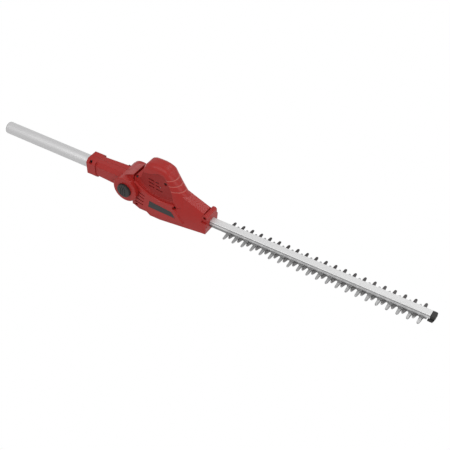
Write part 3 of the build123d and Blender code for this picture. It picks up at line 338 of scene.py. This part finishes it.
plasticLooks = {
    "red_shell": {
        # the sunk colour is painted shade on the hump's sunk side
        "colour": (0.298, 0.016, 0.0135, 1), "shade": (0.274, 0.014, 0.0115, 1),
        "scuffColour": (0.42, 0.06, 0.05, 1), "sunkShadeColour": (0.215, 0.0110, 0.0092, 1),
        # the lip colour is a painted highlight on the grooves' lips
        "lipHighlightColour": (0.38, 0.075, 0.064, 1),
        "grainSize": 2600.0, "scuffs": 0.25, "rough": 0.32, "shine": 0.20, "bump": 0.08, "edge": 0.0008,
    },
    "soft_edged_red": {         # the shells' red on the neck, whose edges are rounder
        "colour": (0.298, 0.016, 0.0135, 1), "shade": (0.274, 0.014, 0.0115, 1),
        "scuffColour": (0.42, 0.06, 0.05, 1),
        "grainSize": 2600.0, "scuffs": 0.25, "rough": 0.32, "shine": 0.20, "bump": 0.08, "edge": 0.0022,
    },
    "button_plastic": {
        "colour": (0.020, 0.019, 0.018, 1), "shade": (0.012, 0.012, 0.011, 1),
        "scuffColour": (0.10, 0.10, 0.10, 1),
        "grainSize": 2200.0, "scuffs": 0.35, "rough": 0.48, "shine": 0.30, "bump": 0.16, "edge": 0.0006,
    },
    "black_plastic": {
        "colour": (0.016, 0.015, 0.015, 1), "shade": (0.010, 0.010, 0.010, 1),
        "scuffColour": (0.09, 0.09, 0.09, 1),
        "grainSize": 2200.0, "scuffs": 0.35, "rough": 0.46, "shine": 0.30, "bump": 0.16, "edge": 0.0007,
    },
    "label_film": {
        "colour": (0.014, 0.015, 0.015, 1), "shade": (0.011, 0.012, 0.012, 1),
        "scuffColour": (0.07, 0.07, 0.07, 1),
        "grainSize": 3200.0, "scuffs": 0.2, "rough": 0.34, "shine": 0.3, "bump": 0.04, "edge": 0.0003,
    },
    "grey_nylon": {
        "colour": (0.13, 0.13, 0.135, 1), "shade": (0.10, 0.10, 0.105, 1),
        "scuffColour": (0.2, 0.2, 0.2, 1),
        "grainSize": 2000.0, "scuffs": 0.2, "rough": 0.5, "shine": 0.4, "bump": 0.14, "edge": 0.0004,
    },
    "brush_carbon": {
        "colour": (0.045, 0.045, 0.047, 1), "shade": (0.03, 0.03, 0.03, 1),
        "scuffColour": (0.08, 0.08, 0.08, 1),
        "grainSize": 3000.0, "scuffs": 0.1, "rough": 0.6, "shine": 0.3, "bump": 0.2, "edge": 0.0002,
    },
}

# How often the drawn lines repeat per metre along x, y and z: few along the line, many across it

alongBar = (9.0, 900.0, 900.0)
acrossTeeth = (700.0, 12.0, 700.0)
evenGrain = (420.0, 420.0, 420.0)
roundShaft = (600.0, 600.0, 900.0)
stackedSheets = (60.0, 60.0, 2400.0)
woundWire = (300.0, 300.0, 2600.0)

metalLooks = {
    "pole_aluminium": {
        "colour": (0.535, 0.532, 0.535, 1), "shade": (0.50, 0.497, 0.50, 1), "stretch": alongBar,
        "rough": 0.40, "metal": 0.8, "bump": 0.008, "edge": 0.0,
    },
    "rail_aluminium": {
        "colour": (0.58, 0.58, 0.58, 1), "shade": (0.555, 0.555, 0.555, 1), "stretch": alongBar,
        "rough": 0.50, "metal": 0.45, "bump": 0.008, "edge": 0.0,
        # the groove colour is painted shade along the rail's groove
        "grooveShadeColour": (0.22, 0.22, 0.22, 1), "grooveUnderTop": 0.0030, "grooveHalf": 0.0010,
    },
    "blade_steel": {
        "colour": (0.31, 0.31, 0.31, 1), "shade": (0.26, 0.26, 0.26, 1), "stretch": acrossTeeth,
        "rough": 0.36, "metal": 1.0, "bump": 0.03, "edge": 0.0,
    },
    "blade_dark_steel": {
        # a darker copy of the blade steel: painted shade on the lower blade, which lies under the upper
        # one
        "colour": (0.25, 0.246, 0.246, 1), "shade": (0.215, 0.212, 0.212, 1), "stretch": acrossTeeth,
        "rough": 0.34, "metal": 1.0, "bump": 0.03, "edge": 0.0,
        "farReflectionColour": (0.060, 0.057, 0.057, 1), "farReflectionFrom": 0.0095,    # the left teeth get a painted dark reflection
    },
    "screw_steel": {
        # near-black steel: painted shade of the screws' deep wells
        "colour": (0.040, 0.036, 0.036, 1), "shade": (0.026, 0.023, 0.023, 1), "stretch": evenGrain,
        "rough": 0.42, "metal": 1.0, "bump": 0.10, "edge": 0.0002,
    },
    "bolt_black": {
        "colour": (0.09, 0.09, 0.095, 1), "shade": (0.06, 0.06, 0.06, 1), "stretch": evenGrain,
        "rough": 0.45, "metal": 0.9, "bump": 0.10, "edge": 0.0002,
    },
    "spring_steel": {
        "colour": (0.55, 0.55, 0.56, 1), "shade": (0.42, 0.42, 0.43, 1), "stretch": evenGrain,
        "rough": 0.3, "metal": 1.0, "bump": 0.05, "edge": 0.0001,
    },
    "can_steel": {
        "colour": (0.60, 0.60, 0.61, 1), "shade": (0.48, 0.48, 0.49, 1), "stretch": evenGrain,
        "rough": 0.33, "metal": 1.0, "bump": 0.06, "edge": 0.0004,
    },
    "plate_steel": {
        "colour": (0.58, 0.58, 0.59, 1), "shade": (0.45, 0.45, 0.46, 1), "stretch": alongBar,
        "rough": 0.36, "metal": 1.0, "bump": 0.12, "edge": 0.0003,
    },
    "shaft_steel": {
        "colour": (0.64, 0.64, 0.65, 1), "shade": (0.52, 0.52, 0.53, 1), "stretch": roundShaft,
        "rough": 0.22, "metal": 1.0, "bump": 0.06, "edge": 0.0002,
    },
    "gear_steel": {
        "colour": (0.50, 0.49, 0.47, 1), "shade": (0.36, 0.35, 0.34, 1), "stretch": evenGrain,
        "rough": 0.38, "metal": 1.0, "bump": 0.12, "edge": 0.0002,
    },
    "cast_alloy": {
        "colour": (0.52, 0.53, 0.54, 1), "shade": (0.38, 0.39, 0.40, 1), "stretch": evenGrain,
        "rough": 0.55, "metal": 0.9, "bump": 0.35, "edge": 0.0006,
    },
    "core_iron": {
        "colour": (0.28, 0.27, 0.27, 1), "shade": (0.16, 0.16, 0.16, 1), "stretch": stackedSheets,
        "rough": 0.45, "metal": 1.0, "bump": 0.3, "edge": 0.0002,
    },
    "magnet_ferrite": {
        "colour": (0.085, 0.085, 0.09, 1), "shade": (0.06, 0.06, 0.06, 1), "stretch": evenGrain,
        "rough": 0.6, "metal": 0.3, "bump": 0.2, "edge": 0.0004,
    },
    "bearing_bronze": {
        "colour": (0.55, 0.36, 0.17, 1), "shade": (0.40, 0.25, 0.11, 1), "stretch": evenGrain,
        "rough": 0.38, "metal": 1.0, "bump": 0.12, "edge": 0.0002,
    },
    "contact_brass": {
        "colour": (0.76, 0.56, 0.25, 1), "shade": (0.60, 0.42, 0.18, 1), "stretch": alongBar,
        "rough": 0.28, "metal": 1.0, "bump": 0.08, "edge": 0.0002,
    },
    "winding_copper": {
        "colour": (0.62, 0.27, 0.13, 1), "shade": (0.38, 0.14, 0.06, 1), "stretch": woundWire,
        "rough": 0.32, "metal": 1.0, "bump": 0.5, "edge": 0.0002,
    },
}

feltLook = {
    "colour": (0.23, 0.22, 0.21, 1), "shade": (0.12, 0.115, 0.11, 1),
    "fibreScale": 900.0, "fibreDetail": 6.0,
    "rough": 0.95, "sheen": 0.4, "bump": 0.6, "bumpDepth": 0.0006,
}

finishes = {name: mouldedPlastic(name, look) for name, look in plasticLooks.items()}
finishes.update({name: workedMetal(name, look) for name, look in metalLooks.items()})
finishes["wiper_felt"] = pressedFelt("wiper_felt", feltLook)
print("finishes made:", len(finishes))


# Dressing the frame: each piece gets a merged, smooth-shaded skin in place of its loose triangles

slotOfNode = {part["node"]: part["material_slot"] for part in record["subparts"]}
bodyOfNode = {node: body for body, nodes in record["behaviour"]["bodies"].items() for node in nodes}
dressing = {
    "mergeGap": 0.00001,        # metres between corners that count as one
    "sharpAngle": 28.0,         # degrees above which an edge stays crisp
}


def mergedSkin(node):
    # The node's own triangles with shared corners, so that round surfaces can be shaded smooth
    source = frame["nodes"][node].data
    corners = np.empty(len(source.vertices) * 3, np.float64)
    source.vertices.foreach_get("co", corners)
    corners = corners.reshape(-1, 3)
    keys = np.round(corners / dressing["mergeGap"]).astype(np.int64)
    firstIndex, inverse = np.unique(keys, axis=0, return_index=True, return_inverse=True)[1:]
    loops = np.empty(len(source.loops), np.int32)
    source.loops.foreach_get("vertex_index", loops)
    triangles = inverse.reshape(-1)[loops].reshape(-1, 3)
    one, two, three = triangles.T
    real = (one != two) & (two != three) & (one != three)
    mesh = bpy.data.meshes.new(node + "Skin")
    mesh.from_pydata(corners[firstIndex].tolist(), [], triangles[real].tolist())
    mesh.validate()
    return mesh


markedShells = ("housing_left", "housing_right")
sunkSide = {
    "halfWidth": 0.0212,        # of the hump at the height of the pole's axis
    "lean": 0.026,              # narrowing of the hump for each unit up
    "shallow": 0.0003,          # less sunk than this is not marked
    "deep": 0.0016,
    "fullDepth": 0.0010,        # from here on the mark is 1
    "foot": -0.004,
    "top": 0.0670,
    "rear": -0.0500,            # from the motor's axis
    "front": 0.0480,
    "facing": 0.995,            # share of a face's normal that points sideways
}
lipMarks = {
    "heights": (0.0300, 0.0425, 0.0550),    # of the grooves round the hump's front
    "width": 0.0024,
    "slack": 0.0002,
    "rear": 0.0200,             # from the motor's axis
    "rise": (0.15, 0.97),       # share of a face's normal that points up
}


def setFaceMark(mesh, name, values):
    layer = mesh.attributes.new(name, "FLOAT", "FACE")
    layer.data.foreach_set("value", values.astype(np.float32))


def markShell(mesh, node):
    # sunk: how far a face of the hump's side lies under the leaning side plane; the shell's material
    # paints shade there
    # lip: 1 on the sloping lips of the grooves round the hump's front, where the material paints a
    # highlight
    count = len(mesh.polygons)
    centre = np.empty(count * 3)
    normal = np.empty(count * 3)
    mesh.polygons.foreach_get("center", centre)
    mesh.polygons.foreach_get("normal", normal)
    x, y, z = centre.reshape(-1, 3).T
    sideways, upward = normal.reshape(-1, 3).T[1:]
    canLow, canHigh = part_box("motor_can")
    along = x - (canLow[0] + canHigh[0]) / 2
    depth = sunkSide["halfWidth"] - sunkSide["lean"] * z - np.abs(y)
    inside = (depth > sunkSide["shallow"]) & (depth < sunkSide["deep"])
    inside &= (z > sunkSide["foot"]) & (z < sunkSide["top"])
    inside &= (along > sunkSide["rear"]) & (along < sunkSide["front"])
    inside &= np.abs(sideways) > sunkSide["facing"]
    setFaceMark(mesh, "sunk", np.where(inside, np.clip(depth / sunkSide["fullDepth"], 0, 1), 0))
    least, most = lipMarks["rise"]
    slack = lipMarks["slack"]
    rising = (upward > least) & (upward < most) & (along > lipMarks["rear"])
    lip = np.zeros(count, bool)
    for height in lipMarks["heights"]:
        lip |= rising & (z > height - slack) & (z < height + lipMarks["width"] + slack)
    setFaceMark(mesh, "lip", lip)
    print("marked on", node, int(inside.sum()), "sunk faces and", int(lip.sum()), "lip faces")


def finishOf(node):
    if node.startswith("neck_") and slotOfNode[node] == "red_shell":
        return finishes["soft_edged_red"]
    return finishes[slotOfNode[node]]


def dressNode(node):
    mesh = mergedSkin(node)
    mesh.shade_smooth()
    mesh.set_sharp_from_angle(angle=math.radians(dressing["sharpAngle"]))
    if node in markedShells:
        markShell(mesh, node)
    skin = bpy.data.objects.new(node + "Skin", mesh)
    bpy.context.scene.collection.objects.link(skin)
    mesh.materials.append(finishOf(node))
    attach(skin, bodyOfNode[node])
    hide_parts(node)
    return skin


skins = {node: dressNode(node) for node in sorted(frame["nodes"])}
print("pieces dressed:", len(skins))


def shortenSpring():
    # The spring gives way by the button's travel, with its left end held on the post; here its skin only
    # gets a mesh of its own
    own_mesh(skins["lock_spring"])


shortenSpring()


# Floor, light and camera

studio = {
    "floorGap": 0.30,           # metres between the lowest point and the floor
    "floorSize": 14.0,
    "floorColour": (0.86, 0.86, 0.86, 1),
    "floorRough": 0.9,
    "white": (1, 1, 1, 1),
    "skyStrength": 0.68,
    "backdropStrength": 1.0,    # how bright the floor and the sky look to the camera and in reflections
}
lamps = {                       # place is from the middle of the object; size is width and height
    "keyBox": {"place": (-0.2, -0.9, 1.9), "size": (1.6, 1.2), "power": 13.0},
    "fillBox": {"place": (1.5, 1.3, 1.1), "size": (1.2, 1.0), "power": 5.0},
    "endBox": {"place": (1.9, -0.4, 0.5), "size": (1.2, 1.2), "power": 9.0},
    "glintBox": {"place": (0.45, -0.75, 1.45), "size": (0.3, 0.3), "power": 2.4},
    "noseBox": {"place": (0.24, 1.12, 1.40), "size": (0.35, 0.35), "power": 2.6},
    "bevelBox": {"place": (-0.70, -1.09, 0.99), "size": (0.4, 0.4), "power": 2.6},
}
cameraPlace = {
    "target": Vector((0.6016, 0.0009, -0.0202)),
    "azimuth": 32.28,
    "elevation": 42.42,
    "distance": 1.9205,
    "lens": 72.26,
    "sensor": 36.0,
    "farthest": 100.0,
}


def mixByRay(tree, lit, shown, output):
    # lit lights the object; shown is what the camera, reflections and clear pieces see
    path = addNode(tree, "ShaderNodeLightPath", -600, 200)
    seen = path.outputs["Is Camera Ray"]
    for label in ("Is Glossy Ray", "Is Transmission Ray"):
        seen = calculate(tree, "MAXIMUM", (seen, path.outputs[label]), -300, 200)
    both = addNode(tree, "ShaderNodeMixShader", 100, 0)
    for socket, value in zip(both.inputs, (seen, lit, shown)):
        tree.links.new(value, socket)
    tree.links.new(both.outputs[0], output.inputs["Surface"])


def paleFloor():
    half = studio["floorSize"] / 2
    level = lowLoaded.z - studio["floorGap"]
    corners = [(-half, -half, level), (half, -half, level), (half, half, level), (-half, half, level)]
    mesh = bpy.data.meshes.new("floor")
    mesh.from_pydata(corners, [], [(0, 1, 2, 3)])
    floor = bpy.data.objects.new("floor", mesh)
    bpy.context.scene.collection.objects.link(floor)
    material = bpy.data.materials.new("paleFloor")
    material.use_nodes = True
    tree = material.node_tree
    shader = tree.nodes["Principled BSDF"]
    shader.inputs["Base Color"].default_value = studio["floorColour"]
    shader.inputs["Roughness"].default_value = studio["floorRough"]
    glow = addNode(tree, "ShaderNodeEmission", -200, -300)
    glow.inputs["Strength"].default_value = studio["backdropStrength"]
    mixByRay(tree, shader.outputs[0], glow.outputs[0], tree.nodes["Material Output"])
    mesh.materials.append(material)


def studioSky():
    world = bpy.data.worlds.new("studioSky")
    world.use_nodes = True
    bpy.context.scene.world = world
    tree = world.node_tree
    tree.nodes.clear()
    layers = []
    for strength, y in ((studio["skyStrength"], 100), (studio["backdropStrength"], -100)):
        layer = addNode(tree, "ShaderNodeBackground", 0, y)
        layer.inputs["Color"].default_value = studio["white"]
        layer.inputs["Strength"].default_value = strength
        layers.append(layer.outputs[0])
    leave = addNode(tree, "ShaderNodeOutputWorld", 400, 0)
    mixByRay(tree, layers[0], layers[1], leave)


def softBox(name, lamp, middle):
    light = bpy.data.lights.new(name, "AREA")
    light.shape = "RECTANGLE"
    light.size, light.size_y = lamp["size"]
    light.energy = lamp["power"]
    box = bpy.data.objects.new(name, light)
    offset = Vector(lamp["place"])
    box.location = middle + offset
    box.rotation_mode = "QUATERNION"
    box.rotation_quaternion = (-offset).to_track_quat("-Z", "Y")
    bpy.context.scene.collection.objects.link(box)


def viewCamera():
    azimuth = math.radians(cameraPlace["azimuth"])
    elevation = math.radians(cameraPlace["elevation"])
    back = Vector((
        math.sin(azimuth) * math.cos(elevation),
        -math.cos(azimuth) * math.cos(elevation),
        math.sin(elevation),
    ))
    data = bpy.data.cameras.new("camera")
    data.sensor_width = cameraPlace["sensor"]
    data.lens = cameraPlace["lens"]
    data.clip_end = cameraPlace["farthest"]
    camera = bpy.data.objects.new("camera", data)
    camera.location = cameraPlace["target"] + back * cameraPlace["distance"]
    camera.rotation_mode = "QUATERNION"
    camera.rotation_quaternion = (-back).to_track_quat("-Z", "Y")
    bpy.context.scene.collection.objects.link(camera)
    bpy.context.scene.camera = camera


paleFloor()
studioSky()
for name, lamp in lamps.items():
    softBox(name, lamp, (lowLoaded + highLoaded) / 2)
viewCamera()
bpy.context.scene.view_settings.view_transform = "Standard"
print("studio ready")

bpy.context.view_layer.update()
